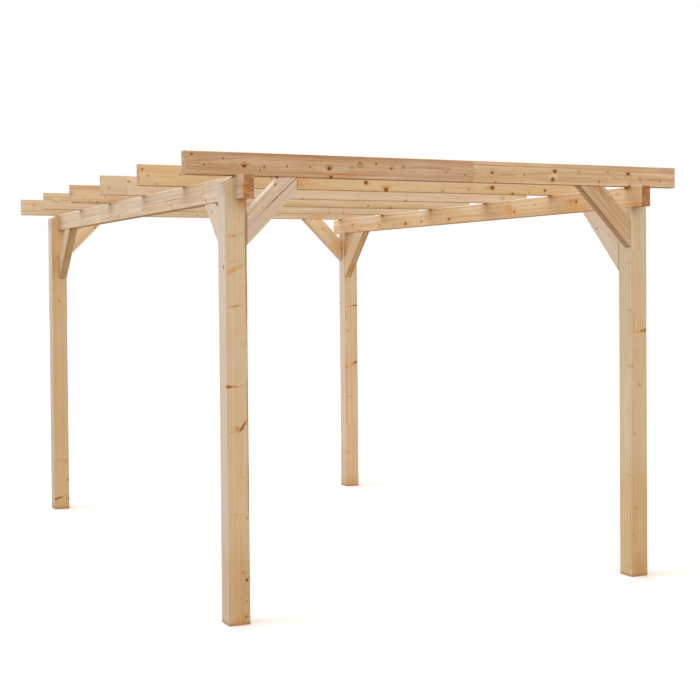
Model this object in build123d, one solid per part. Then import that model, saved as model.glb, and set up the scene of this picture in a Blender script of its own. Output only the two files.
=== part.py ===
"""Free-standing garden pergola of planed spruce: four square posts, two side
beams let into the posts, six rafters laid across the beams and eight knee braces.

Millimetres, +Z up. The origin is on the ground at the middle of the plan. X runs
along the rafters, Y runs along the beams, and the front is towards -Y.
"""
import math
import os

from build123d import *

# ---- timber sections --------------------------------------------------------
POST_SIZE = 115.0            # square post
BOARD_THICKNESS = 58.0       # beams, rafters and braces are cut from one board size
BOARD_DEPTH = 120.0
ARRIS = 3.0                  # radius planed on every long edge

# ---- the frame --------------------------------------------------------------
WIDTH_OVER_POSTS = 2630.0    # along X, outer face to outer face
LENGTH_OVER_POSTS = 4110.0   # along Y, front face to back face
BEAM_TOP = 2300.0            # the rafters lie at this height
BEAM_OVERHANG = 110.0        # beyond the posts, front and back
RAFTER_OVERHANG = 210.0      # beyond the posts, left and right
RAFTER_COUNT = 6

# ---- post head --------------------------------------------------------------
CHEEK_GAP = 8.0              # the cheek beside the beam stops this far below the rafters
CHEEK_SLOPE = 20.0           # degrees, the cheek's top falls outwards to shed rain

# ---- knee braces ------------------------------------------------------------
BRACE_ANGLE = 45.0           # degrees from the post
BRACE_DROP_ACROSS = 355.0    # underside of the end rafter down to the brace's lower edge
BRACE_DROP_ALONG = 375.0     # underside of the beam down to the brace's lower edge
TIP_CLIP = 278.0             # the front left brace is cut off plumb this far from its post

# ---- worked out from the sizes above ----------------------------------------
HALF_WIDTH = WIDTH_OVER_POSTS / 2
HALF_LENGTH = LENGTH_OVER_POSTS / 2
BEAM_UNDERSIDE = BEAM_TOP - BOARD_DEPTH
RAFTER_TOP = BEAM_TOP + BOARD_DEPTH
POST_X = HALF_WIDTH - POST_SIZE / 2
POST_Y = HALF_LENGTH - POST_SIZE / 2
CHEEK_WIDTH = POST_SIZE - BOARD_THICKNESS
BEAM_X = HALF_WIDTH - POST_SIZE + BOARD_THICKNESS / 2
END_RAFTER_Y = HALF_LENGTH - BOARD_THICKNESS / 2
RAFTER_SPACING = 2 * END_RAFTER_Y / (RAFTER_COUNT - 1)
BEAM_LENGTH = LENGTH_OVER_POSTS + 2 * BEAM_OVERHANG
RAFTER_LENGTH = WIDTH_OVER_POSTS + 2 * RAFTER_OVERHANG

SIDES = {"left": -1, "right": 1}
ENDS = {"front": -1, "back": 1}


def planed_bar(width, depth, length):
    """A bar standing on Z = 0 with its four long edges eased."""
    return extrude(RectangleRounded(width, depth, ARRIS), amount=length)


def post():
    """The left post, centred on Z: the beam is housed in its inner (+X) half and
    the outer half carries on up beside the beam as a cheek with a sloping top."""
    stock = planed_bar(POST_SIZE, POST_SIZE, BEAM_TOP)
    half = POST_SIZE / 2
    seat_x = CHEEK_WIDTH - half
    cheek_high = BEAM_TOP - CHEEK_GAP
    cheek_low = cheek_high - CHEEK_WIDTH * math.tan(math.radians(CHEEK_SLOPE))
    head = Polyline(
        (-half, cheek_low),
        (seat_x, cheek_high),
        (seat_x, BEAM_UNDERSIDE),
        (half, BEAM_UNDERSIDE),
        (half, BEAM_TOP),
        (-half, BEAM_TOP),
        close=True,
    )
    waste = extrude(Plane.XZ * make_face(head), amount=half, both=True)
    return stock - waste


def beam():
    """A side beam lying along Y, centred on X and Y, with its top at BEAM_TOP."""
    bar = planed_bar(BOARD_THICKNESS, BOARD_DEPTH, BEAM_LENGTH)
    middle = BEAM_TOP - BOARD_DEPTH / 2
    return Location((0, BEAM_LENGTH / 2, middle), (90, 0, 0)) * bar


def rafter():
    """A rafter lying along X, centred on X and Y, with its underside at BEAM_TOP."""
    bar = planed_bar(BOARD_DEPTH, BOARD_THICKNESS, RAFTER_LENGTH)
    middle = BEAM_TOP + BOARD_DEPTH / 2
    return Location((-RAFTER_LENGTH / 2, 0, middle), (0, 90, 0)) * bar


def knee_brace(drop, clip=None):
    """A brace in the XZ plane, centred on Y. Its foot bears on a post face at X = 0
    and its head bears under a member at Z = 0, so the lower edge starts at -drop.
    With a clip its sharp upper tip is cut off plumb at that distance."""
    lean = math.radians(BRACE_ANGLE)
    reach = drop * math.tan(lean)
    run = 2 * (drop + reach)
    bar = planed_bar(BOARD_DEPTH, BOARD_THICKNESS, run)
    middle = BOARD_DEPTH / 2
    start = Vector(0, 0, -drop) + Vector(-math.cos(lean), 0, math.sin(lean)) * middle
    start -= Vector(math.sin(lean), 0, math.cos(lean)) * (run / 4)
    bar = Location(start, (0, BRACE_ANGLE, 0)) * bar
    far = reach if clip is None else clip
    corner = Polyline((0, 0), (far, 0), (far, -drop), (0, -drop), close=True)
    return bar & extrude(Plane.XZ * make_face(corner), amount=BOARD_THICKNESS, both=True)


def mirrored(piece, side, end):
    """The left front piece set at the given corner."""
    if side > 0:
        piece = mirror(piece, about=Plane.YZ)
    if end > 0:
        piece = mirror(piece, about=Plane.XZ)
    return piece


def save(node, piece):
    solids = piece.solids()
    if len(solids) != 1:
        raise ValueError(f"{node} has {len(solids)} solids")
    export_step(solids[0], f"parts/{node}.step")


def main():
    os.makedirs("parts", exist_ok=True)
    for side_name, side in SIDES.items():
        save(f"beam_{side_name}", Pos(side * BEAM_X, 0, 0) * beam())
        for end_name, end in ENDS.items():
            corner = f"{end_name}_{side_name}"
            front_left_post = Pos(-POST_X, -POST_Y, 0) * post()
            save(f"post_{corner}", mirrored(front_left_post, side, end))

            clip = TIP_CLIP if corner == "front_left" else None
            inner_face = -HALF_WIDTH + POST_SIZE
            across = Pos(inner_face, -END_RAFTER_Y, BEAM_TOP) * knee_brace(
                BRACE_DROP_ACROSS, clip
            )
            save(f"brace_rafter_{corner}", mirrored(across, side, end))

            back_face = -HALF_LENGTH + POST_SIZE
            turn = Location((-BEAM_X, back_face, BEAM_UNDERSIDE), (0, 0, 90))
            along = turn * knee_brace(BRACE_DROP_ALONG)
            save(f"brace_beam_{corner}", mirrored(along, side, end))

    for index in range(RAFTER_COUNT):
        y = -END_RAFTER_Y + index * RAFTER_SPACING
        save(f"rafter_{index + 1}", Pos(0, y, 0) * rafter())


main()
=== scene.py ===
import math
import random

import bmesh
import bpy
from mathutils import Matrix, Vector


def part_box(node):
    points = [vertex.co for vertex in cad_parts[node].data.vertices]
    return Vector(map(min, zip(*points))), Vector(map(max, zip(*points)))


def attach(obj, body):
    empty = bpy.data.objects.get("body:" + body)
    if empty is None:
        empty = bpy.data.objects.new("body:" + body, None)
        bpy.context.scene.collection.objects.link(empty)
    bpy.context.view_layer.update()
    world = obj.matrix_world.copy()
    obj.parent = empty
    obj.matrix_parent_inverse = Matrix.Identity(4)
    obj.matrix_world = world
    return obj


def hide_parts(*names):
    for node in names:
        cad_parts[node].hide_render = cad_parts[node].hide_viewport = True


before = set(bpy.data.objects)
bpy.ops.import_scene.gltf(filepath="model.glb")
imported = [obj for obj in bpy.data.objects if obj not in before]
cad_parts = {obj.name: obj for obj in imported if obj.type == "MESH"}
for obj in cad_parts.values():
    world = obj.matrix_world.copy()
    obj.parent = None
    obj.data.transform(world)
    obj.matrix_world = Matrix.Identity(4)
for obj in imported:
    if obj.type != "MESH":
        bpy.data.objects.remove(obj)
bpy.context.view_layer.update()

scene = bpy.context.scene

# ------------------------------------------------------------------ viewpoint

cam_data = bpy.data.cameras.new("viewpoint")
cam_data.lens = 68.5
cam_data.sensor_width = 36.0
cam_data.shift_y = -0.0564
camera = bpy.data.objects.new("viewpoint", cam_data)
turn = (
    Matrix.Rotation(math.radians(-25.05), 4, "Z")
    @ Matrix.Rotation(math.radians(88.86), 4, "X")
    @ Matrix.Rotation(math.radians(-0.48), 4, "Z")
)
camera.matrix_world = Matrix.Translation((-3.609, -8.447, 1.743)) @ turn
scene.collection.objects.link(camera)
scene.camera = camera
scene.view_settings.view_transform = "Standard"


# ---------------------------------------------------------- values in a material

class Value:
    """One socket of a material. Arithmetic on it is worked out by Math nodes."""

    def __init__(self, tree, socket):
        self.tree = tree
        self.socket = socket

    def node(self, kind, settings, sockets, output=0):
        """Adds a node: its settings first, then the number, colour or link of each socket."""
        made = self.tree.nodes.new(kind)
        for name, setting in settings.items():
            if name == "stops":
                fill_ramp(made.color_ramp, setting)
            else:
                setattr(made, name, setting)
        for key, value in sockets.items():
            if isinstance(value, Value):
                self.tree.links.new(value.socket, made.inputs[key])
            else:
                made.inputs[key].default_value = value
        return Value(self.tree, made.outputs[output])

    def maths(self, operation, *values):
        return self.node("ShaderNodeMath", {"operation": operation}, dict(enumerate(values)))

    def vector(self, operation, *values, output=0):
        settings = {"operation": operation}
        return self.node("ShaderNodeVectorMath", settings, dict(enumerate(values)), output)

    def part(self, axis):
        """One of the three parts of a place or direction."""
        return self.node("ShaderNodeSeparateXYZ", {}, {0: self}, axis)

    def __add__(self, other):
        return self.maths("ADD", self, other)

    __radd__ = __add__

    def __sub__(self, other):
        return self.maths("SUBTRACT", self, other)

    def __rsub__(self, other):
        return self.maths("SUBTRACT", other, self)

    def __mul__(self, other):
        return self.maths("MULTIPLY", self, other)

    __rmul__ = __mul__

    def __truediv__(self, other):
        return self.maths("DIVIDE", self, other)

    def __abs__(self):
        return self.maths("ABSOLUTE", self)


def fill_ramp(ramp, stops):
    """Gives a ramp its stops, each a place from 0 to 1 and a grey."""
    while len(ramp.elements) < len(stops):
        ramp.elements.new(0.5)
    for element, (place, grey) in zip(ramp.elements, stops):
        element.position = place
        element.color = (grey, grey, grey, 1)


def fade(value, start, end, low=0.0, high=1.0):
    """Runs smoothly from low at start to high at end, and is level beyond them."""
    sockets = {"Value": value, "From Min": start, "From Max": end, "To Min": low, "To Max": high}
    return value.node("ShaderNodeMapRange", {"interpolation_type": "SMOOTHSTEP"}, sockets)


def larger(a, b):
    """The larger of two values, or b where there is no a yet."""
    return b if a is None else a.maths("MAXIMUM", a, b)


def smaller(a, b):
    """The smaller of two values, or b where there is no a yet."""
    return b if a is None else a.maths("MINIMUM", a, b)


def blend(amount, a, b):
    """The colour a, turning to b as amount goes from 0 to 1."""
    settings = {"data_type": "RGBA", "clamp_factor": True}
    return amount.node("ShaderNodeMix", settings, {0: amount, 6: a, 7: b}, 2)


def stained(colour, amount, stain):
    """The colour, multiplied by a stain as amount goes from 0 to 1."""
    return blend(amount, colour, colour.vector("MULTIPLY", colour, stain))


def stronger(stain, power):
    """A stain laid on so many times over."""
    return tuple(part ** power for part in stain)


def noise(place, size, seed, detail=1.0, output=0):
    """Soft noise about a half, with patches of the given size along each axis."""
    stretch = tuple(1 / s for s in size)
    moved = place.vector("MULTIPLY_ADD", place, stretch, seed)
    sockets = {"Vector": moved, "Scale": 1.0, "Detail": detail, "Roughness": 0.5}
    return place.node("ShaderNodeTexNoise", {"noise_dimensions": "3D"}, sockets, output)


# ------------------------------------------------------------------ the timbers
# Every timber has its own axes: along it from the foot or the first end, across
# its width, and deep through its thickness. All lengths here are in millimetres.

POST_HALF = 57.5        # half a post's width
BOARD_HALF = 29.0       # half the thickness of a beam, rafter or brace
DEPTH_HALF = 60.0       # half its depth


def post_axes(name):
    low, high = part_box(name)
    foot = Vector(((low.x + high.x) / 2, (low.y + high.y) / 2, low.z))
    return foot, Vector((0, 0, 1)), Vector((1, 0, 0))


def beam_axes(name):
    low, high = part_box(name)
    end = Vector(((low.x + high.x) / 2, low.y, (low.z + high.z) / 2))
    return end, Vector((0, 1, 0)), Vector((0, 0, 1))


def rafter_axes(name):
    low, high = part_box(name)
    end = Vector((low.x, (low.y + high.y) / 2, (low.z + high.z) / 2))
    return end, Vector((1, 0, 0)), Vector((0, 0, 1))


def brace_axes(name):
    """A brace rises at 45 degrees from the middle of its foot, on a post's inner face."""
    low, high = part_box(name)
    foot = (low + high) / 2
    foot.z = low.z + DEPTH_HALF / 1000 * math.sqrt(2)
    if name.startswith("brace_rafter"):
        way = 1 if name.endswith("left") else -1
        foot.x = low.x if way > 0 else high.x
        return foot, Vector((way, 0, 1)).normalized(), Vector((-way, 0, 1)).normalized()
    way = 1 if "front" in name else -1
    foot.y = low.y if way > 0 else high.y
    return foot, Vector((0, way, 1)).normalized(), Vector((0, -way, 1)).normalized()


AXES = {"post": post_axes, "beam": beam_axes, "rafter": rafter_axes, "brace": brace_axes}


def timber_frame(name):
    """Where a timber starts, and its directions along, across and deep."""
    start, along, across = AXES[name.split("_")[0]](name)
    deep = along.cross(across)
    return start, along, across, deep


# ------------------------------------------------------------------ what the wood shows
# tint    how pale the timber is beside the plain wood, in red, green and blue; timbers the lamps leave in shade are made paler, which is painted light
# pith    where the middle of the tree is, across and deep, with the rings round it;
#         "pith_shows" is how brown it looks and "drift" how far it wanders
# face    the depth of the shown face
# grain   how strongly rings and streaks show
# knots   along, across, deep, radius, darkness
# spikes  a knot sawn along its length, from along, across to along, across at its
#         thick end; then its half thickness and darkness
# bands   a pale orange band round a sawn branch, from along, across to along,
#         across, then its half width and strength
# resin   orange patches: along, across, deep, half sizes, strength
# heart   the same for brown streaks
# shades  broad soft patches of another tone, many of them painted light and shade: along, across, half
# sizes, stain
# checks  an open crack from along, across to along, across, and its width
# joints  where a finger joint is, and the stain of the length beyond it, which in
#         a post is the length below; "faint_beyond" is how much fainter its rings are
# layers  the beam is glued up from an upper and a lower layer
# foot    how high a post is darkened towards its foot, by damp and by painted shade near the floor, and how strongly
# aged  the stain of a post's left face, partly the wood and partly painted light and shade on that side
# end_stain  the stain of sawn end grain
# Spikes, bands, shades patches and checks lie on the shown face.

SHOWN = {}

SHOWN["post_front_left"] = dict(
    tint=(1, 1.15, 1.4), pith=(54, -57), pith_shows=1.0, face=-POST_HALF, grain=0.45,
    aged=(0.96, 0.97, 1.03),
    foot=(520, 0.4), drift=4,
    shades=[(900, 0, 450, 80, (1.0, 0.97, 0.92)), (2165, 40, 70, 30, (1.0, 0.80, 0.60))],
    knots=[
        (1010, -5, -58, 9, 0.4), (550, 45, -58, 7, 0.3), (270, 20, -58, 6, 0.5),
        (230, 40, -58, 7, 0.85), (240, 55, -58, 5, 0.5), (195, 25, -58, 5, 0.3),
        (160, 35, -58, 5, 0.3), (105, 15, -58, 6, 0.35), (120, 40, -58, 6, 0.3),
        (40, 35, -58, 6, 0.65), (1835, -58, -20, 9, 0.7), (1560, -58, 8, 6, 0.25),
        (1400, -58, 6, 5, 0.25), (1225, -50, -58, 7, 0.85),
    ],
    spikes=[(1640, 10, 1635, -10, 3, 0.4), (1225, 10, 1225, -45, 5, 0.35)],
    bands=[
        (1990, -58, 1995, 5, 11, 0.7), (1995, 5, 2015, 50, 7, 0.6), (1990, -25, 1995, 0, 9, 0.5),
        (1805, -58, 1850, 50, 18, 0.65), (1860, -58, 1870, 50, 6, 0.6), (1800, -58, 1815, -10, 15, 0.4),
        (1630, -58, 1640, 35, 7, 0.7), (1630, -25, 1635, 15, 5, 0.6),
        (1220, -58, 1225, 15, 9, 0.7), (1225, 10, 1245, 55, 5, 0.6), (1430, 25, 1455, 50, 6, 0.4),
        (990, -58, 1000, -5, 7, 0.6), (1020, -55, 1010, -10, 5, 0.5), (1005, -5, 1015, 0, 10, 0.5),
        (755, 20, 760, 40, 6, 0.6), (550, 40, 550, 50, 7, 0.5),
    ],
    resin=[(175, 40, -58, 150, 20, 20, 0.35), (30, 10, -58, 40, 40, 20, 0.5)],
    checks=[(1000, 10, 1010, 25, 6), (1010, 20, 1040, 40, 7), (2040, 50, 1850, 50, 2.5)],
    joints=[(570, (0.98, 0.97, 0.95)), (330, (0.97, 0.93, 0.88))],
)

SHOWN["post_back_left"] = dict(
    tint=(1.05, 1.15, 1.25), pith=(56, -48), pith_shows=0.3, face=-POST_HALF, grain=0.5,
    aged=(0.83, 0.86, 0.94),
    foot=(100, 0.5), drift=5,
    knots=[
        (1630, -5, -58, 9, 0.45), (1975, -5, -58, 6, 0.3), (790, 40, -58, 7, 0.25),
        (375, 35, -58, 6, 0.4), (225, 50, -58, 7, 0.65), (80, 55, -58, 7, 0.75),
    ],
    spikes=[(95, 0, 80, -50, 6, 0.9)],
    bands=[(80, -58, 100, 5, 9, 0.6), (390, -20, 390, 45, 5, 0.4)],
    heart=[(1100, -40, -58, 700, 8, 20, 0.15), (1200, -58, -5, 1300, 20, 70, 0.2)],
    resin=[(1900, -20, -58, 300, 50, 20, 0.3)],
    shades=[
        # the first patch brightens the head, which the beam and braces shade: painted light
        (2100, 10, 250, 90, (1.25, 1.25, 1.25)), (600, -20, 400, 60, (0.97, 0.94, 0.90)),
        (1720, 0, 190, 90, (1.08, 1.08, 1.09)),
    ],
    joints=[(390, (0.98, 0.97, 0.95))],
)

SHOWN["post_back_right"] = dict(
    tint=(1.15, 1.3, 1.6), pith=(-54, -54), pith_shows=0.5, face=-POST_HALF, grain=0.75,
    aged=(0.98, 0.99, 1.02),
    foot=(110, 0.6), drift=5,
    knots=[
        (1560, 40, -58, 8, 0.85), (1030, -45, -58, 8, 0.4), (1340, -35, -58, 7, 0.45),
        (520, 20, -58, 7, 0.3), (295, -50, -58, 7, 0.4), (1575, -58, 41, 8, 0.9),
        (760, -58, -8, 6, 0.3), (285, -58, 32, 7, 0.45), (775, -10, -58, 6, 0.4),
    ],
    spikes=[(1555, 5, 1560, 50, 4, 0.85), (1060, 10, 1075, 50, 6, 0.9)],
    bands=[
        (1545, -56, 1560, 40, 6, 0.7), (1340, -50, 1340, -20, 7, 0.6),
        (1030, -15, 1070, 40, 12, 0.7), (1030, -50, 1030, -30, 8, 0.5), (765, -50, 785, 5, 7, 0.6),
    ],
    resin=[(2060, -40, -58, 150, 22, 20, 1.0), (800, 56, -58, 900, 6, 20, 0.5)],
    heart=[(2020, -55, -58, 110, 6, 20, 0.8)],
    shades=[
        (1750, 10, 200, 80, (1.05, 1.08, 1.12)), (1100, 30, 250, 30, (0.96, 0.94, 0.90)),
        (2035, -40, 60, 20, (1.08, 1.12, 1.25)),
    ],
    joints=[(545, (0.99, 0.98, 0.96)), (275, (0.98, 0.97, 0.94))],
)

SHOWN["post_front_right"] = dict(
    tint=(1, 1.2, 1.45), pith=(-50, -70), face=-POST_HALF, grain=0.75, foot=(750, 0.6), drift=5,
    aged=(1.10, 1.08, 1.05),
    shades=[
        (50, 0, 110, 80, (0.94, 0.86, 0.76)), (1850, 0, 450, 90, (1.0, 1.0, 1.06)),
        # this patch brightens the left face below the beam: painted light
        (2150, -58, 60, 16, (1.15, 1.12, 1.10)),
    ],
    knots=[
        (1855, -56, -58, 5, 0.2), (1245, -50, -58, 7, 0.4), (1135, 5, -58, 6, 0.6),
        (845, -30, -58, 7, 0.35), (580, -45, -58, 7, 0.2), (405, -25, -58, 6, 0.45),
        (250, -45, -58, 5, 0.45), (1575, -56, -58, 6, 0.25), (1330, -25, -58, 7, 0.25),
        (1635, -58, -34, 6, 0.2), (985, -58, -27, 6, 0.3), (600, -58, -38, 7, 0.3),
        (57, -58, -40, 6, 0.35),
    ],
    spikes=[(1450, 10, 1455, 50, 8, 0.6)],
    bands=[(1445, -35, 1450, 15, 10, 0.5), (1450, 20, 1460, 58, 9, 0.6)],
    resin=[(1485, 20, -58, 55, 32, 40, 0.4), (1500, -35, -58, 90, 12, 40, 0.4)],
    joints=[(1930, (1.0, 0.99, 0.98))],
)

SHOWN["beam_left"] = dict(
    tint=(1.1, 1.25, 1.55), pith=(20, 3), face=-BOARD_HALF, drift=5, layers=True,
    end_stain=(0.85, 0.66, 0.55),
    knots=[(840, -40, -29, 6, 0.5), (2330, -35, -29, 9, 0.4), (2400, -40, -29, 8, 0.35)],
    bands=[
        (1220, -20, 1160, -60, 12, 1.0), (1215, -20, 1165, -58, 6, 1.0),
        (595, -20, 555, -60, 12, 1.0), (595, -20, 560, -58, 6, 1.0), (610, 5, 625, 50, 8, 0.7),
    ],
    resin=[(10, -30, -29, 40, 50, 20, 0.9), (3000, -40, -29, 500, 25, 20, 0.4)],
    shades=[
        (3600, -45, 600, 40, (0.90, 0.85, 0.75)), (2100, -50, 250, 30, (0.94, 0.88, 0.78)),
        (1400, -50, 350, 30, (0.98, 0.93, 0.86)), (130, 0, 60, 30, (1.12, 1.15, 1.20)),
        # the pale bluish patches near the top edge are painted light
        (1900, 40, 150, 30, (1.02, 1.08, 1.20)), (2900, 40, 120, 30, (1.02, 1.08, 1.20)),
        (3550, 40, 130, 35, (1.02, 1.08, 1.20)), (1100, 35, 200, 35, (1.04, 1.08, 1.16)),
        (4060, -20, 140, 80, (0.90, 0.80, 0.65)), (4080, -60, 60, 14, (0.80, 0.55, 0.35)),
        (3080, -20, 230, 60, (0.90, 0.88, 0.80)), (2000, -58, 2000, 22, (0.98, 0.96, 0.90)),
        (500, 5, 500, 25, (1.05, 1.10, 1.15)), (3690, 40, 150, 30, (1.0, 1.03, 1.08)),
    ],
    checks=[(1030, 0, 1375, 0, 2.5), (605, 0, 660, 0, 2.5)],
    joints=[
        (610, (0.98, 0.97, 0.95)), (1800, (1.03, 1.03, 1.05)), (2285, (0.97, 0.96, 0.94)),
        (2815, (1.02, 1.02, 1.03)), (3315, (1.02, 1.03, 1.05)),
    ],
)

SHOWN["beam_right"] = dict(
    tint=(1.25, 1.3, 1.35), pith=(14, 10), face=-BOARD_HALF, drift=7,
    grain=1.1, end_stain=(0.68, 0.50, 0.43),
    knots=[
        (3945, 5, -29, 9, 0.8), (3430, -20, -29, 9, 0.7), (2970, -30, -29, 12, 0.95),
        (2710, -25, -29, 10, 0.6), (2280, -25, -29, 10, 1), (1805, 30, -29, 7, 0.3),
        (1385, -20, -29, 9, 0.95), (1125, 10, -29, 6, 0.3), (660, 5, -29, 9, 1),
        (45, -45, -29, 7, 0.3), (155, 56, -29, 9, 0.8),
        (3445, -60, -10, 10, 0.6),
    ],
    resin=[
        (1455, 0, -29, 50, 60, 60, 0.6), (720, 5, -29, 60, 30, 40, 0.8), (2970, -30, -29, 60, 35, 40, 0.8),
        (1385, -20, -29, 60, 40, 30, 0.6), (2280, -25, -29, 70, 40, 30, 0.6),
        (60, -40, -29, 60, 20, 30, 0.7), (150, 50, -29, 60, 18, 20, 0.7),
        (2600, 0, -29, 60, 50, 40, 0.6), (1000, -20, -29, 80, 40, 40, 0.4),
    ],
    shades=[
        # pale bluish patches are painted light, the dark orange one before the second rafter painted
        # shade, and the pale one at the front end painted light over the first rafter's shadow
        (650, 0, 250, 90, (0.92, 0.80, 0.65)), (1950, 25, 180, 45, (1.05, 1.15, 1.35)),
        (2720, 40, 100, 30, (1.02, 1.15, 1.40)), (3650, 25, 200, 45, (1.0, 1.10, 1.35)),
        (4150, -20, 120, 60, (1.06, 1.15, 1.25)), (2850, -45, 200, 25, (0.96, 0.92, 0.84)),
        (110, 0, 80, 80, (1.08, 1.06, 1.02)), (310, 0, 80, 80, (0.92, 0.93, 0.94)),
        (1180, -45, 200, 22, (0.96, 0.90, 0.78)), (750, -45, 150, 22, (1.0, 0.95, 0.82)),
        (890, 45, 90, 22, (1.0, 0.91, 0.80)), (2100, 45, 120, 25, (1.0, 1.07, 1.18)),
        (2900, 45, 400, 25, (1.0, 1.06, 1.18)), (3800, 45, 120, 25, (1.0, 1.10, 1.22)),
        (4180, -45, 100, 25, (1.04, 1.12, 1.22)),
    ],
    joints=[(1410, (1.0, 0.99, 0.97)), (2305, (0.98, 0.95, 0.91)), (3410, (1.02, 1.03, 1.04))],
)

SHOWN["rafter_1"] = dict(
    tint=(1, 1.1, 1.4), pith=(4, -52), face=BOARD_HALF, drift=14, grain=2.2,
    end_stain=(1.08, 1.10, 0.93),
    knots=[
        (35, 40, 29, 4.5, 1), (200, 25, 29, 4.5, 0.9), (100, -10, 29, 4.5, 0.9),
        (315, -10, 29, 9, 1), (425, -15, 29, 4.5, 0.9), (400, -30, 29, 4.5, 0.65),
        (550, -5, 29, 4.5, 0.9), (680, -5, 29, 4.5, 0.65), (790, -10, 29, 10, 1),
        (800, -55, 29, 8, 1), (970, 25, 29, 8, 0.55), (1065, 25, 29, 4.5, 1),
        (1155, 0, 29, 4.5, 0.9), (1230, 10, 29, 4.5, 0.7), (1610, -20, 29, 4.5, 0.9),
        (1785, -5, 29, 8, 1), (1805, -58, 29, 6, 0.75), (1995, -10, 29, 4.5, 0.9),
        (2200, 15, 29, 10, 1), (2185, -30, 29, 10, 0.95), (2365, 20, 29, 6, 0.5),
        (2505, -35, 29, 5.5, 0.75), (2565, 20, 29, 6, 0.55), (2710, 15, 29, 10, 1),
        (2795, -15, 29, 6, 0.55), (2940, -20, 29, 5.5, 0.7), (2720, -58, 29, 8, 0.9),
    ],
    resin=[
        (425, 45, 29, 80, 10, 20, 0.5), (640, 30, 29, 170, 8, 20, 0.5), (850, -45, 29, 170, 18, 20, 0.7),
        (190, -50, 29, 150, 10, 20, 0.5),
    ],
    heart=[
        (900, 50, 29, 700, 9, 30, 0.35), (215, -25, 29, 40, 5, 20, 0.3), (500, 50, 29, 420, 14, 20, 0.45),
    ],
    bands=[(1995, 0, 1990, 60, 4, 0.35)],
    shades=[
        (2300, 0, 620, 26, (1.06, 1.16, 1.26)), (2720, 50, 420, 22, (0.93, 0.88, 0.84)),
        (1480, 0, 130, 26, (1.04, 1.12, 1.12)), (670, -15, 90, 40, (0.95, 0.89, 0.80)),
        (290, 45, 110, 22, (0.92, 0.90, 0.87)), (1240, 0, 90, 90, (0.95, 0.96, 0.91)),
        (1430, 50, 120, 20, (0.92, 0.88, 0.90)), (1430, -50, 100, 20, (0.92, 0.95, 0.92)),
        (3000, 40, 100, 30, (0.89, 0.83, 0.82)), (1880, 0, 170, 26, (1.04, 1.10, 1.18)),
        (2400, 50, 120, 20, (0.94, 0.92, 0.90)),
    ],
    joints=[(1665, (1.13, 1.20, 1.22))], faint_beyond=0.6,
)

SHOWN["rafter_2"] = dict(
    tint=(1.15, 1.25, 1.35), pith=(-20, -50), face=BOARD_HALF, grain=0.7, drift=12,
    end_stain=(0.9, 0.76, 0.55),
    knots=[
        (15, 30, 29, 7, 0.65), (50, -5, 29, 6, 0.5), (95, -50, 29, 6, 0.45),
        (235, 5, 29, 6, 0.5), (785, 0, 29, 7, 0.5), (1395, -10, 29, 10, 1),
        (1530, -50, 29, 12, 0.9), (1920, -50, 29, 7, 0.6),
        (2105, -35, 29, 7, 0.3), (2275, -20, 29, 11, 0.95), (2425, -58, 29, 8, 0.9),
        (2545, -45, 29, 7, 0.35), (2665, -30, 29, 8, 1),
    ],
    bands=[
        (1530, -50, 1500, -25, 8, 0.6), (1530, -50, 1560, -20, 8, 0.6), (2545, -45, 2560, -20, 8, 0.5),
        (950, -60, 955, 10, 7, 0.9), (955, 5, 985, -45, 6, 0.7), (985, -45, 1030, 5, 6, 0.7),
    ],
    resin=[
        (165, -5, 29, 60, 8, 20, 0.6), (990, -5, 29, 40, 30, 40, 0.6), (1530, -40, 29, 45, 20, 30, 0.5),
        (2425, -50, 29, 60, 12, 20, 0.7), (1950, 20, 29, 120, 14, 20, 0.5),
    ],
    heart=[(985, 0, 29, 14, 18, 40, 0.4), (950, -25, 29, 7, 40, 20, 0.8), (975, -35, 29, 16, 14, 20, 0.6)],
)

SHOWN["rafter_3"] = dict(
    tint=(1.1, 1.3, 1.7), pith=(15, -55), face=BOARD_HALF, grain=0.6, drift=12,
    knots=[
        (40, -15, 29, 8, 0.4), (165, 25, 29, 8, 0.6), (2085, -60, 29, 7, 0.85),
        (2330, -30, 29, 8, 0.25), (2495, -25, 29, 8, 0.25), (2850, -25, 29, 9, 0.3),
        (1330, -58, 29, 7, 0.5),
    ],
    bands=[(2090, -45, 2105, 0, 7, 0.6), (2105, 0, 2130, 25, 6, 0.5), (2840, -35, 2860, -10, 7, 0.5)],
    joints=[(155, (1.10, 1.14, 1.20))],
)

SHOWN["rafter_4"] = dict(
    tint=(1.15, 1.35, 1.65), pith=(-10, -48), face=BOARD_HALF, grain=1.15, drift=12,
    knots=[
        (80, -35, 29, 8, 0.25), (230, -20, 29, 6, 0.4), (175, -55, 29, 6, 0.75),
        (2195, -45, 29, 9, 0.6), (2380, -60, 29, 8, 0.9),
    ],
    resin=[
        (125, 50, 29, 50, 9, 20, 0.9), (2380, -55, 29, 50, 18, 30, 0.7), (80, -35, 29, 25, 14, 20, 0.3),
        (240, 35, 29, 20, 20, 20, 0.4),
    ],
    heart=[(5, 0, 29, 20, 25, 30, 0.5)],
)

SHOWN["rafter_5"] = dict(
    tint=(1.2, 1.5, 2), pith=(20, -52), face=BOARD_HALF, grain=1.25, drift=12,
    knots=[(85, -5, 29, 7, 0.3), (2245, -58, 29, 9, 0.3), (2370, -55, 29, 9, 0.3)],
    bands=[(2245, -60, 2245, -10, 8, 0.6), (2370, -60, 2360, -5, 9, 0.6)],
    resin=[(85, -5, 29, 22, 14, 20, 0.2)],
)

SHOWN["rafter_6"] = dict(
    tint=(1.15, 1.35, 1.75), pith=(0, -50), face=BOARD_HALF, grain=0.7, drift=12,
    knots=[(90, 20, 29, 6, 0.4), (1420, -40, 29, 9, 0.4)],
    bands=[(70, 10, 125, 30, 5, 0.7)],
    resin=[(2500, -40, 29, 120, 20, 20, 0.8), (700, 30, 29, 300, 20, 20, 0.4)],
)

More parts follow.
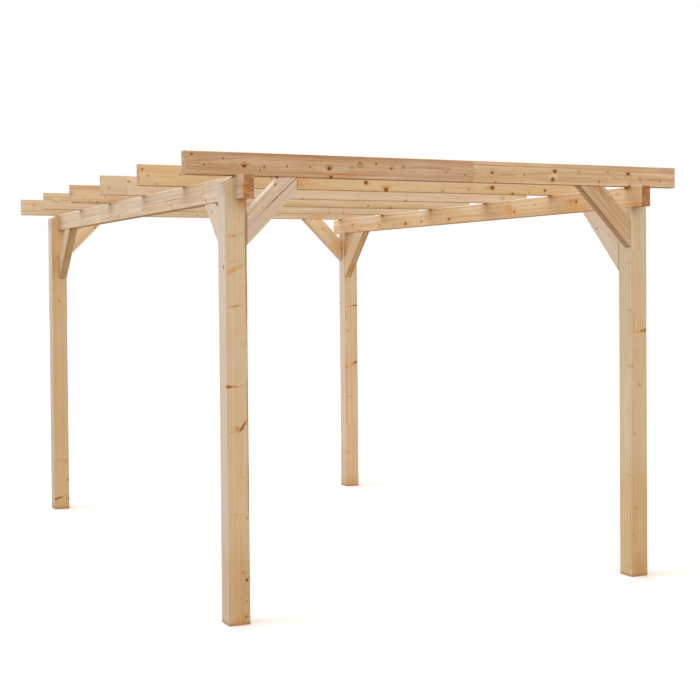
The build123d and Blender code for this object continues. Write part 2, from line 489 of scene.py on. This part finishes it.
SHOWN["brace_rafter_front_left"] = dict(
    tint=(1, 1.2, 1.7), pith=(-10, -40), face=BOARD_HALF, grain=0.7, drift=6,
    knots=[(275, 50, 29, 7, 0.6)], checks=[(410, -10, 150, 0, 3)], bands=[(380, 30, 450, 40, 9, 0.4)],
)
SHOWN["brace_rafter_front_right"] = dict(
    tint=(0.95, 1.05, 1.25), pith=(20, 30), face=-BOARD_HALF, grain=1.4, drift=8,
    knots=[(360, 5, -29, 6, 0.4), (235, 45, -29, 6, 0.4)],
    heart=[(250, -60, -22, 400, 5, 9, 0.9)],
)
SHOWN["brace_rafter_back_left"] = dict(
    tint=(1.45, 1.75, 2.3), pith=(10, -40), face=BOARD_HALF, drift=6,
    knots=[(300, -45, 29, 10, 0.5)],
)
SHOWN["brace_rafter_back_right"] = dict(
    tint=(1.35, 1.6, 2.05), pith=(-12, 42), face=-BOARD_HALF, grain=0.8, drift=6,
    knots=[(260, 5, -29, 8, 0.4), (10, 15, -29, 10, 1)],
    resin=[(50, 0, -29, 80, 70, 60, 0.9), (260, 10, -29, 40, 14, 20, 0.6)],
)
SHOWN["brace_beam_front_left"] = dict(
    tint=(1.05, 1.2, 1.55), pith=(10, 45), face=-BOARD_HALF, grain=0.7, drift=6,
    knots=[(355, -10, -29, 6, 0.7), (240, -50, -29, 8, 0.45)],
)
SHOWN["brace_beam_front_right"] = dict(
    tint=(1.15, 1.3, 1.65), pith=(-8, 45), face=-BOARD_HALF, grain=0.6, drift=6,
    knots=[(280, -25, -29, 7, 0.6)],
)
SHOWN["brace_beam_back_left"] = dict(
    tint=(1, 1.05, 1.15), pith=(10, -15), face=BOARD_HALF, grain=0.8, drift=6,
    knots=[(465, -60, 22, 8, 0.8), (175, -60, -8, 8, 0.35)],
)
SHOWN["brace_beam_back_right"] = dict(
    tint=(1.15, 1.25, 1.35), pith=(-10, -45), face=BOARD_HALF, drift=6,
    resin=[(45, -60, 0, 50, 40, 40, 0.9)],
)


# ------------------------------------------------------------------ spruce
# Lengths are in millimetres, and the sizes given to noise are its patches' lengths
# along, across and deep.

WOOD = (0.638, 0.4446, 0.2562)        # plain pale wood, before a timber's own tint
RING = 3.6                            # one year's growth
FINGER = 16.0                         # length of the fingers in a finger joint
HALF_PITCH = 3.0                      # half the distance from one finger to the next
FIRST_FINGER = 200.0                  # how far outside the timber they are counted from
OTHER_WOOD = (733.0, 19.0, -27.0)     # the way to another part of the tree: along, across, deep
OTHER_LAYER = (311.0, 24.0, 9.0)      # the same for a beam's upper layer
# the next four set how far the painted shade where timbers touch reaches
BESIDE_RAFTER = 12.0                  # how far a beam is reddened to each side of a rafter,
BELOW_RAFTER = 9.0                    # down from it
RAFTER_REACH = 50.0                   # and from the beam's middle
BELOW_HEAD = 5.0                      # how far a brace is reddened below its head


def place_in_timber(tree, start, along, across, deep):
    """Where a point of the surface is in the timber's own axes."""
    turn = Matrix((along, across, deep)).transposed().to_euler()
    point = Value(tree, tree.nodes.new("ShaderNodeTexCoord").outputs["Object"])
    sockets = {"Vector": point, "Location": start, "Rotation": turn, "Scale": (0.001,) * 3}
    return point.node("ShaderNodeMapping", {"vector_type": "TEXTURE"}, sockets)


def nearness(place, centre, half, turn=0.0):
    """0 at a centre and 1 on an ellipsoid of the given half sizes, turned on the wide face."""
    sockets = {"Vector": place, "Location": centre, "Rotation": (0, 0, turn), "Scale": half}
    inside = place.node("ShaderNodeMapping", {"vector_type": "TEXTURE"}, sockets)
    return inside.vector("LENGTH", inside, output=1)


def unsteady(place, size, seed, amount):
    """The place, moved a little by soft noise, so that nothing is ruled with a straight edge."""
    push = noise(place, size, seed, output=1)
    centred = place.vector("SUBTRACT", place, (amount,) * 3)
    return place.vector("MULTIPLY_ADD", push, (2 * amount,) * 3, centred)


class Timber:
    """The wood of one timber, while its material is put together."""

    def __init__(self, name, shown):
        self.name = name
        self.shown = shown
        self.post = name.startswith("post")
        self.brace = name.startswith("brace")
        self.half_width = POST_HALF if self.post else DEPTH_HALF
        low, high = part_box(name)
        self.length = max(high - low) * 1000
        self.start, self.way_along, self.way_across, self.way_deep = timber_frame(name)
        self.material = bpy.data.materials.new("spruce_" + name)
        self.material.use_nodes = True
        self.tree = self.material.node_tree
        self.draws = random.Random(name)
        self.place = place_in_timber(
            self.tree, self.start, self.way_along, self.way_across, self.way_deep
        )
        self.along, self.across, self.deep = (self.place.part(axis) for axis in range(3))
        self.wavy = unsteady(self.place, (40, 16, 16), self.seed(), 3)

    def seed(self):
        """Where this timber's next noise is looked up."""
        return tuple(self.draws.uniform(5, 90) for _ in range(3))

    def stain(self, amount, tone):
        """Multiplies the colour so far by a tone as amount goes from 0 to 1."""
        self.colour = stained(self.colour, amount, tone)

    def listed(self, key):
        """The marks of one kind, if the timber shows any."""
        return self.shown.get(key, [])

    def near_streak(self, ends, spare, half_width, half_deep):
        """How near a point is to a slim streak on the shown face, a spare length past both ends."""
        from_along, from_across, to_along, to_across = ends
        middle = ((from_along + to_along) / 2, (from_across + to_across) / 2, self.shown["face"])
        rise, run = to_across - from_across, to_along - from_along
        half = (math.hypot(run, rise) / 2 + spare, half_width, half_deep)
        return nearness(self.wavy, middle, half, math.atan2(rise, run))

    def facing(self, way):
        """How squarely the surface faces in a direction, from -1 to 1."""
        return self.normal.vector("DOT_PRODUCT", self.normal, tuple(way), output=1)

    # ---- how it grew and was glued up

    def join_lengths(self):
        """Other wood beyond each finger joint and in an upper layer, and the glue in between."""
        self.board = self.place
        self.glue = None
        self.beyond_joints = []
        self.ring_depth = 1.0
        teeth = FINGER * self.deep.maths("PINGPONG", self.deep + FIRST_FINGER, HALF_PITCH) / HALF_PITCH
        for position, stain in self.listed("joints"):
            edge = self.along - teeth - (position - FINGER / 2)
            beyond = fade(edge, 0.3, -0.3) if self.post else fade(edge, -0.3, 0.3)
            self.board = self.board.vector("MULTIPLY_ADD", beyond, OTHER_WOOD, self.board)
            self.beyond_joints.append((beyond, stain))
            self.glue = larger(self.glue, fade(abs(edge), 0.4, 2.5, 0.28, 0.0))
        if "faint_beyond" in self.shown:
            self.ring_depth = 1 - self.shown["faint_beyond"] * beyond
        if "layers" in self.shown:
            above = fade(self.across, -0.2, 0.2)
            self.board = self.board.vector("MULTIPLY_ADD", above, OTHER_LAYER, self.board)
            line = fade(abs(self.across), 0.4, 1.2, 0.5, 0.0)
            sprung = fade(abs(self.across), 1.0, 2.6, 0.9, 0.0) * fade(self.along, 100, 140, 1.0, 0.0)
            self.glue = larger(self.glue, larger(line, sprung))

    def hidden_knots(self):
        """Knots on the faces that the lists leave out, some 400 to 700 mm apart."""
        knots = []
        for start, side in ((120, "far"), (300, "edge")):
            along = start + self.draws.uniform(0, 300)
            while along < self.length - 60:
                spread = self.draws.uniform(-0.6, 0.6)
                radius, dark = self.draws.uniform(5, 11), self.draws.uniform(0.4, 0.95)
                if side == "far":
                    knots.append((along, spread * self.half_width, -self.shown["face"], radius, dark))
                else:
                    right = self.post or self.draws.random() < 0.5
                    edge = self.half_width if right else -self.half_width
                    knots.append((along, edge, spread * abs(self.shown["face"]), radius, dark))
                along += self.draws.uniform(400, 700)
        return knots

    def branches(self):
        """Every knot of the timber: centre, half sizes, turn, radius and darkness."""
        face = self.shown["face"]
        knots = []
        for along, across, deep, radius, dark in self.listed("knots") + self.hidden_knots():
            on_edge = abs(across) >= self.half_width - 1 and deep != face
            through = 75 if deep == face and not self.post else 40
            reach = (radius * 1.1, 40, radius) if on_edge else (radius * 1.1, radius, through)
            knots.append(((along, across, deep), reach, 0.0, radius, dark))
        for from_along, from_across, along, across, radius, dark in self.listed("spikes"):
            rise, run = across - from_across, along - from_along
            reach = (math.hypot(run, rise), radius, radius)
            knots.append(((along, across, face), reach, math.atan2(rise, run), radius, dark))
        return knots

    def grow_knots(self):
        """How near the nearest knot is, how dark it is, and how far it pushes the rings aside."""
        self.closest = self.dark = self.swell = None
        for centre, half, turn, radius, strength in self.branches():
            near = nearness(self.wavy, centre, half, turn)
            mark = fade(near, 2.2, 2.8, strength, 0.0)
            bulge = fade(near, 0.5, 4.5, radius * 0.55, 0.0)
            self.closest = smaller(self.closest, near)
            self.dark = larger(self.dark, mark)
            self.swell = larger(self.swell, bulge)

    def grow_rings(self):
        """The years' rings round a wandering pith, in lean and rich spells, and the fibres."""
        board = self.board
        pith_across, pith_deep = self.shown["pith"]
        drift = self.shown["drift"]
        wander = noise(board, (900, 260, 260), self.seed(), output=1)
        to_pith = (0, -pith_across - drift, -pith_deep - drift)
        flat = board.vector("MULTIPLY_ADD", board, (0, 1, 1), to_pith)
        cross = board.vector("MULTIPLY_ADD", wander, (0, 2 * drift, 2 * drift), flat)
        self.from_pith = cross.vector("LENGTH", cross, output=1)
        radius = self.from_pith if self.swell is None else self.from_pith - self.swell
        year = radius / RING + 1.2 * noise(board, (260, 34, 34), self.seed())
        stops = [(0.0, 0.0), (0.45, 0.10), (0.80, 0.80), (0.92, 1.0), (1.0, 0.0)]
        self.ring = year.node("ShaderNodeValToRGB", {"stops": stops}, {0: year.maths("FRACT", year)})
        sockets = {"W": radius / 13 + self.seed()[0], "Scale": 1.0, "Detail": 2.0}
        spell = year.node("ShaderNodeTexNoise", {"noise_dimensions": "1D"}, sockets)
        self.spell = fade(spell, 0.3, 0.7)
        self.streak = fade(noise(board, (650, 9, 9), self.seed(), 2.0), 0.3, 0.7)
        self.fibre = noise(board, (150, 1.5, 1.5), self.seed(), 2.0)
        self.cloud = fade(noise(board, (300, 70, 70), self.seed()), 0.3, 0.7)

    # ---- its colour, from the clear wood to the marks on it, and painted light and shade

    def colour_clear_wood(self):
        """Pale and deeper streaks, the late wood of each ring, the fibres and the pith."""
        grain = self.shown.get("grain", 1.0)
        pale = tuple(wood * tint for wood, tint in zip(WOOD, self.shown["tint"]))
        deeper = tuple(part * s for part, s in zip(pale, stronger((0.90, 0.83, 0.74), grain)))
        self.colour = blend(0.6 * self.streak + 0.4 * self.cloud, pale + (1,), deeper + (1,))
        self.stain(self.spell, stronger((0.94, 0.88, 0.80), grain))
        late_wood = self.ring * (0.2 + 0.8 * self.spell) * self.ring_depth
        self.stain(late_wood, stronger((0.80, 0.64, 0.50), grain))
        self.stain(fade(self.fibre, 0.35, 0.75), (0.93, 0.88, 0.83))
        pith = fade(self.from_pith, 1.5, 6.5, self.shown.get("pith_shows", 0.7), 0.0)
        self.stain(pith * (0.25 + 0.75 * self.cloud), (0.62, 0.36, 0.20))

    def stain_patches(self):
        """Resin, heartwood, broad patches of tone and of painted light and shade, bands at branches, and
        each jointed length's own tone.
        """
        for kind, stain in (("resin", (1.0, 0.80, 0.55)), ("heart", (0.74, 0.54, 0.38))):
            for patch in self.listed(kind):
                centre, half, strength = patch[:3], patch[3:6], patch[6]
                self.stain(fade(nearness(self.wavy, centre, half), 0.3, 1.2, strength, 0.0), stain)
        # broad patches, many of them painted light and shade: paler bluish where skylight falls, darker
        # where timbers shade each other
        for along, across, half_along, half_across, stain in self.listed("shades"):
            centre = (along, across, self.shown["face"])
            near = nearness(self.wavy, centre, (half_along, half_across, 80))
            self.stain(fade(near, 0.2, 1.3, 1.0, 0.0), stain)
        for *ends, half_width, strength in self.listed("bands"):
            near = self.near_streak(ends, half_width, half_width, 25)
            self.stain(fade(near, 0.35, 1.1, strength, 0.0), (0.92, 0.72, 0.42))
        for beyond, stain in self.beyond_joints:
            self.stain(beyond, stain)

    def darken_foot(self):
        """Darker and warmer towards a post's foot: damp and soil, and painted shade where the post meets
        the floor.
        """
        height, strength = self.shown["foot"]
        damp_and_floor_shade = fade(self.along + 30 * self.cloud, height * 0.6, height * 1.1, strength, 0.0)
        self.stain(damp_and_floor_shade, (0.92, 0.76, 0.54))
        soil_and_floor_shade = fade(self.along + 20 * self.fibre, 12, 34, 0.8, 0.0)
        self.stain(soil_and_floor_shade, (0.70, 0.54, 0.38))

    def colour_knots(self):
        """A warm halo round each knot, its brown rim and its dark core."""
        halo = fade(self.closest, 0.8, 2.3, 1.0, 0.0) * self.dark
        self.stain(halo, (0.95, 0.74, 0.52))
        stops = [(0.0, 0.90), (0.26, 0.80), (0.36, 1.0), (0.46, 0.9), (0.60, 0.0)]
        profile = self.closest.node("ShaderNodeValToRGB", {"stops": stops}, {0: self.closest * 0.5})
        core = profile * self.dark
        self.stain(fade(core, 0.0, 0.75), (0.62, 0.44, 0.32))
        self.colour = blend(fade(core, 0.45, 1.05, 0.0, 0.95), self.colour, (0.17, 0.05, 0.016, 1))

    def open_checks(self):
        """Glue lines, and checks that opened as the wood dried, their dark inside painted shade; also how
        high the surface is.
        """
        self.height = 0.25 * self.fibre
        if self.glue is not None:
            self.stain(self.glue, (0.55, 0.38, 0.28))
            self.height = self.height - 0.2 * self.glue
        for *ends, width in self.listed("checks"):
            near = self.near_streak(ends, 0, width / 2, 12)
            shaded_gap = fade(near, 0.6, 1.3, 1.0, 0.0)
            self.stain(fade(near, 1.0, 3.4, 0.8, 0.0), (0.78, 0.52, 0.36))
            # painted shade: the inside of the crack is drawn nearly black brown
            self.colour = blend(shaded_gap, self.colour, (0.20, 0.07, 0.025, 1))
            self.height = self.height - 2.0 * shaded_gap

    def paint_feather_edge_shade(self):
        """The brown line where a brace's thin edge meets its post: painted shade in that crease, with some
        end grain.
        """
        off_post = (self.along - self.across) / math.sqrt(2)
        edge = fade(off_post + 3 * self.fibre, 3.0, 7.5, 0.85, 0.0)
        self.stain(edge, (0.50, 0.27, 0.15))

    def saw_ends(self):
        """Darker, blotchy end grain with its rings."""
        self.normal = self.place.node("ShaderNodeNewGeometry", {}, {}, "Normal")
        self.end = fade(abs(self.facing(self.way_along)), 0.55, 0.8)
        end_stain = self.shown.get("end_stain", (0.98, 0.94, 0.88))
        sawn = self.colour.vector("MULTIPLY", self.colour, end_stain)
        sawn = stained(sawn, self.ring, (0.64, 0.47, 0.35))
        blotch = fade(noise(self.place, (20, 26, 26), self.seed()), 0.38, 0.62)
        sawn = stained(sawn, blotch, (0.78, 0.65, 0.53))
        self.colour = blend(self.end, self.colour, sawn)

    def paint_left_face_tone_and_light(self):
        """A post's left face in its own tone, partly the wood and partly painted light and shade on that
        side.
        """
        self.stain(fade(self.facing(-self.way_across), 0.5, 0.9), self.shown["aged"])

    def contact_shades(self):
        """Masks of painted shade where a rafter lies on a beam, and where a brace's head bears on the
        timber above.
        """
        nears = []
        if self.name.startswith("beam"):
            rafters = [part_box(other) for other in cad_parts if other.startswith("rafter")]
            for low, high in rafters:
                at = ((low + high) / 2 - self.start).dot(self.way_along) * 1000
                half = (BOARD_HALF + BESIDE_RAFTER, BELOW_RAFTER, RAFTER_REACH)
                nears.append(nearness(self.wavy, (at, DEPTH_HALF, 0), half))
        if self.brace:
            head_height = (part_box(self.name)[1].z - self.start.z) * 1000
            below_head = head_height - (self.wavy.part(0) + self.wavy.part(1)) / math.sqrt(2)
            nears.append(below_head / BELOW_HEAD)
        return [fade(near, 0.5, 1.3, 1.0, 0.0) for near in nears]

    def paint_edge_light_and_shade(self):
        """Painted highlights on upper arrises and brace tops, painted shade on the rougher undersides and
        where timbers touch.
        """
        up = self.normal.part(2)
        arris = abs(self.facing(self.way_across)) * abs(self.facing(self.way_deep))
        # painted highlight: edges and brace tops that face up are whitened as if lit from above
        pale = fade(arris, 0.06, 0.22) * fade(up, 0.1, 0.4)
        if self.brace:
            pale = larger(pale, 0.85 * fade(up, 0.5, 0.65))
        contact_shades = self.contact_shades()
        for contact_shade in contact_shades:
            pale = pale * (1 - contact_shade)
        self.colour = blend(0.75 * pale, self.colour, (0.93, 0.86, 0.76, 1))
        self.shaded_underside = fade(up, -0.7, -0.2, 1.0, 0.0)
        # painted shade: faces turned downwards are stained darker and browner, and are also made rougher
        self.stain(self.shaded_underside, (1.0, 0.94, 0.82) if self.brace else (0.80, 0.68, 0.52))
        # painted shade, reddish brown, where a rafter lies on a beam and under a brace's head
        for contact_shade in contact_shades:
            self.stain(contact_shade, (0.76, 0.46, 0.30))

    def finish_surface(self):
        """Late wood planes smoother, and loose fibres, sawn ends and undersides are duller."""
        roughness = 0.47 - 0.08 * self.ring + 0.10 * (self.fibre - 0.5)
        roughness = roughness + 0.12 * self.end + 0.35 * self.shaded_underside
        surface = self.tree.nodes["Principled BSDF"]
        surface.inputs["Specular IOR Level"].default_value = 0.12
        sockets = {"Height": self.height, "Distance": 0.001, "Strength": 1.0}
        relief = self.height.node("ShaderNodeBump", {}, sockets)
        self.tree.links.new(self.colour.socket, surface.inputs["Base Color"])
        self.tree.links.new(roughness.socket, surface.inputs["Roughness"])
        self.tree.links.new(relief.socket, surface.inputs["Normal"])


def spruce(name, shown):
    """Planed spruce for one timber: rings round its pith, knots, joints, checks and end grain."""
    timber = Timber(name, shown)
    timber.join_lengths()
    timber.grow_knots()
    timber.grow_rings()
    timber.colour_clear_wood()
    timber.stain_patches()
    if "foot" in shown:
        timber.darken_foot()
    if timber.closest is not None:
        timber.colour_knots()
    timber.open_checks()
    if timber.brace:
        timber.paint_feather_edge_shade()
    timber.saw_ends()
    if "aged" in shown:
        timber.paint_left_face_tone_and_light()
    timber.paint_edge_light_and_shade()
    timber.finish_surface()
    return timber.material


for name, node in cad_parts.items():
    node.data.materials.clear()
    node.data.materials.append(spruce(name, SHOWN[name]))


# ------------------------------------------------------------------ screws and drilled braces

HEAD = 5.0              # radius of a screw's head
DRILL = 6.0             # radius of the hole that hides a brace's screw
SUNK = 11.0             # how deep that hole goes to the head
PILOT = 2.2             # radius of the hole for a screw's shank
SHANK = 5.0             # how much deeper the pilot hole goes
CHEEK_SUNK = 0.2        # how far a cheek screw's rim is pulled in
CHEEK_DRIVE = 0.8       # depth of its drive
BRACE_DRIVE = 2.6       # depth of the drive in a brace's screw
AROUND = 36             # steps round a screw
CHECK_DEPTH = 5.0       # of a brace's open check
CHECK_STEPS = 10        # steps along it

# in metres: below the post's top and sideways, and from the ends of a brace's lower edge
CHEEK_SPOTS = ((0.048, -0.019), (0.090, 0.043))
BRACE_INSET = {"brace_rafter": 0.050, "brace_beam": 0.065}


def lathe(shape, rings, point, outward):
    """Turns an outline of radii and heights round an axis that leaves a point of the surface."""
    turn = outward.to_track_quat("Z", "Y").to_matrix()
    rows = []
    for radius_at, height in rings:
        row = []
        for step in range(AROUND):
            angle = 2 * math.pi * step / AROUND
            radius = radius_at(angle) if callable(radius_at) else radius_at
            local = Vector((radius * math.cos(angle), radius * math.sin(angle), height)) / 1000
            row.append(shape.verts.new(point + turn @ local))
        rows.append(row)
    skin(shape, rows)


def skin(shape, rows):
    """Closes a tube of faces over rows of points, with a face at each end."""
    count = len(rows[0])
    for lower, upper in zip(rows, rows[1:]):
        for step in range(count):
            after = (step + 1) % count
            shape.faces.new((lower[step], lower[after], upper[after], upper[step]))
    shape.faces.new(list(reversed(rows[0])))
    shape.faces.new(rows[-1])


def lobes(radius):
    """A six-lobed outline of about the given radius."""
    return lambda angle: radius * (1 + 0.13 * math.cos(6 * angle))


def screw(shape, point, outward, sunk, drive):
    """A screw with a low domed head, its rim sunk below a point, and a six-lobed drive."""
    rings = [
        (0.4, -24.0), (2.0, -20.0), (2.0, -4.6), (HEAD - 0.1, -0.3), (HEAD, 0.0), (HEAD - 0.15, 0.35),
        (4.3, 0.65), (3.5, 0.9), (lobes(2.7), 1.05), (lobes(2.55), 0.95), (lobes(2.4), 1.1 - drive),
        (0.6, 1.0 - drive),
    ]
    lathe(shape, rings, point - outward * sunk / 1000, outward)


def soften(mesh, flat_ways=()):
    """Leaves the faces square to these directions flat, and rounds off what lies between them."""
    for face in mesh.polygons:
        face.use_smooth = all(abs(face.normal.dot(way)) < 0.9995 for way in flat_ways)
    mesh.set_sharp_from_angle(angle=math.radians(40))


def made_object(name, shape):
    """Closes a shape's mesh as an object with its faces outwards, smooth but for sharp edges."""
    bmesh.ops.recalc_face_normals(shape, faces=shape.faces)
    mesh = bpy.data.meshes.new(name)
    shape.to_mesh(mesh)
    shape.free()
    soften(mesh)
    piece = bpy.data.objects.new(name, mesh)
    scene.collection.objects.link(piece)
    return piece


def cheek_screws(name):
    """Two screws from the outer cheek of a post's head into the beam."""
    low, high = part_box(name)
    middle = (low + high) / 2
    outward = Vector((-1 if middle.x < 0 else 1, 0, 0))
    outer = low.x if middle.x < 0 else high.x
    return [(Vector((outer, middle.y + side, high.z - down)), outward) for down, side in CHEEK_SPOTS]


def brace_screws(name):
    """One screw from each end of a brace's lower edge, into the post and up into the timber above."""
    low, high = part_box(name)
    start, along, across, deep = timber_frame(name)
    tip = start - Vector((0, 0, DEPTH_HALF / 1000 * math.sqrt(2)))
    inset = BRACE_INSET["_".join(name.split("_")[:2])]
    to_post = Vector((along.x, along.y, 0)).normalized()
    run = abs((high - low).dot(to_post))
    lower_edge = min(run, high.z - low.z) * math.sqrt(2)
    return [
        (tip + along * inset, to_post),
        (tip + along * (lower_edge - inset), Vector((0, 0, -1))),
    ]


def cleft(shape, name, check):
    """The open wedge of a check in a timber's shown face, widest in its middle."""
    start, along, across, deep = timber_frame(name)
    from_along, from_across, to_along, to_across, width = check
    side = math.copysign(1, SHOWN[name]["face"])
    rows = []
    for step in range(CHECK_STEPS + 1):
        part = step / CHECK_STEPS
        open_half = max(width / 2 * math.sin(math.pi * part) ** 0.6, 0.05)
        waver = 1.2 * math.sin(9 * part) * math.sin(math.pi * part)
        far = from_along + (to_along - from_along) * part
        middle = from_across + (to_across - from_across) * part + waver
        above = BOARD_HALF + 1
        bottom = BOARD_HALF - CHECK_DEPTH
        corners = ((middle - open_half, above), (middle + open_half, above), (middle, bottom))
        row = []
        for across_by, deep_by in corners:
            place = (along * far + across * across_by + deep * deep_by * side) / 1000
            row.append(shape.verts.new(start + place))
        rows.append(row)
    skin(shape, rows)


def drilled_brace(name, spots):
    """Stands for a brace, with the holes of its screws drilled and its check open."""
    taken = bmesh.new()
    for point, outward in spots:
        bore = [(PILOT, -SHANK - SUNK), (DRILL, -SUNK), (DRILL, SUNK + SHANK)]
        lathe(taken, bore, point, outward)
    for check in SHOWN[name].get("checks", []):
        cleft(taken, name, check)
    drill = made_object("drill", taken)
    # the copy drops the uncut brace's stored normals, which would be false round the cuts
    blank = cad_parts[name].data.copy()
    blank.attributes.remove(blank.attributes["custom_normal"])
    piece = bpy.data.objects.new("drilled_" + name, blank)
    scene.collection.objects.link(piece)
    cut = piece.modifiers.new("drilled", "BOOLEAN")
    cut.object = drill
    graph = bpy.context.evaluated_depsgraph_get()
    piece.data = bpy.data.meshes.new_from_object(piece.evaluated_get(graph))
    piece.modifiers.clear()
    bpy.data.objects.remove(drill)
    start, along, across, deep = timber_frame(name)
    to_post = Vector((along.x, along.y, 0)).normalized()
    soften(piece.data, (across, deep, to_post, Vector((0, 0, 1))))
    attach(piece, "root")
    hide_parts(name)


def screws(name, spots, sunk, drive, finish):
    """All the screws of one timber."""
    shape = bmesh.new()
    for point, outward in spots:
        screw(shape, point, outward, sunk, drive)
    piece = made_object("screws_" + name, shape)
    piece.data.materials.append(finish)
    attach(piece, "root")


def zinc():
    """Dull zinc plating, a little cloudy."""
    material = bpy.data.materials.new("zinc_screw")
    material.use_nodes = True
    tree = material.node_tree
    point = Value(tree, tree.nodes.new("ShaderNodeTexCoord").outputs["Object"])
    patch = 0.0015      # in metres, as the point is
    cloud = noise(point, (patch, patch, patch), (3.0, 5.0, 7.0), 2.0)
    surface = tree.nodes["Principled BSDF"]
    surface.inputs["Metallic"].default_value = 1.0
    colour = blend(fade(cloud, 0.3, 0.7), (0.20, 0.19, 0.18, 1), (0.33, 0.32, 0.30, 1))
    tree.links.new(colour.socket, surface.inputs["Base Color"])
    tree.links.new((0.32 + 0.25 * cloud).socket, surface.inputs["Roughness"])
    return material


plating = zinc()
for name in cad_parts:
    if name.startswith("post"):
        screws(name, cheek_screws(name), CHEEK_SUNK, CHEEK_DRIVE, plating)
    if name.startswith("brace"):
        drilled_brace(name, brace_screws(name))
        screws(name, brace_screws(name), SUNK, BRACE_DRIVE, plating)


# ------------------------------------------------------------------ studio

def lamp(name, source, strength, colour, softness):
    """A far lamp, shining from the given direction, as wide in the sky as its softness in degrees."""
    light = bpy.data.lights.new(name, "SUN")
    light.energy = strength
    light.color = colour
    light.angle = math.radians(softness)
    holder = bpy.data.objects.new(name, light)
    holder.rotation_euler = Vector(source).to_track_quat("Z", "Y").to_euler()
    scene.collection.objects.link(holder)


def paper(tree, seen, real):
    """A colour that is seen as one white and lights the timbers as another."""
    path = tree.nodes.new("ShaderNodeLightPath")
    looked_at = None
    for kind in ("Is Camera Ray", "Is Glossy Ray", "Is Transmission Ray"):
        looked_at = larger(looked_at, Value(tree, path.outputs[kind]))
    return blend(looked_at, real, seen)


def studio_sky():
    """White to look at, and a soft warm light all round."""
    world = bpy.data.worlds.new("studio")
    world.use_nodes = True
    sky = paper(world.node_tree, (1, 1, 1, 1), (0.62, 0.52, 0.40, 1))
    world.node_tree.links.new(sky.socket, world.node_tree.nodes["Background"].inputs["Color"])
    return world


def pale_floor():
    """A matt pale finish that keeps the timbers' shadow."""
    material = bpy.data.materials.new("pale_floor")
    material.use_nodes = True
    surface = material.node_tree.nodes["Principled BSDF"]
    surface.inputs["Roughness"].default_value = 1.0
    surface.inputs["Specular IOR Level"].default_value = 0.0
    shade = paper(material.node_tree, (0.9, 0.9, 0.9, 1), (0.42, 0.40, 0.37, 1))
    material.node_tree.links.new(shade.socket, surface.inputs["Base Color"])
    return material


def lay_floor():
    """A wide round floor at the level of the posts' feet."""
    shape = bmesh.new()
    bmesh.ops.create_circle(shape, cap_ends=True, segments=96, radius=60)
    mesh = bpy.data.meshes.new("floor")
    shape.to_mesh(mesh)
    shape.free()
    mesh.materials.append(pale_floor())
    floor = bpy.data.objects.new("floor", mesh)
    scene.collection.objects.link(floor)


lamp("overhead", (-0.1, 0.1, 1.0), 0.8, (1.0, 1.0, 1.0), 70)
lamp("back", (0.05, 0.93, 0.36), 1.6, (1.0, 1.0, 1.0), 50)
lamp("left", (-0.88, 0.25, 0.42), 2.3, (0.53, 0.73, 1.0), 50)
lamp("front", (0.15, -0.95, 0.22), 1.9, (0.96, 0.99, 1.0), 70)
scene.world = studio_sky()
lay_floor()
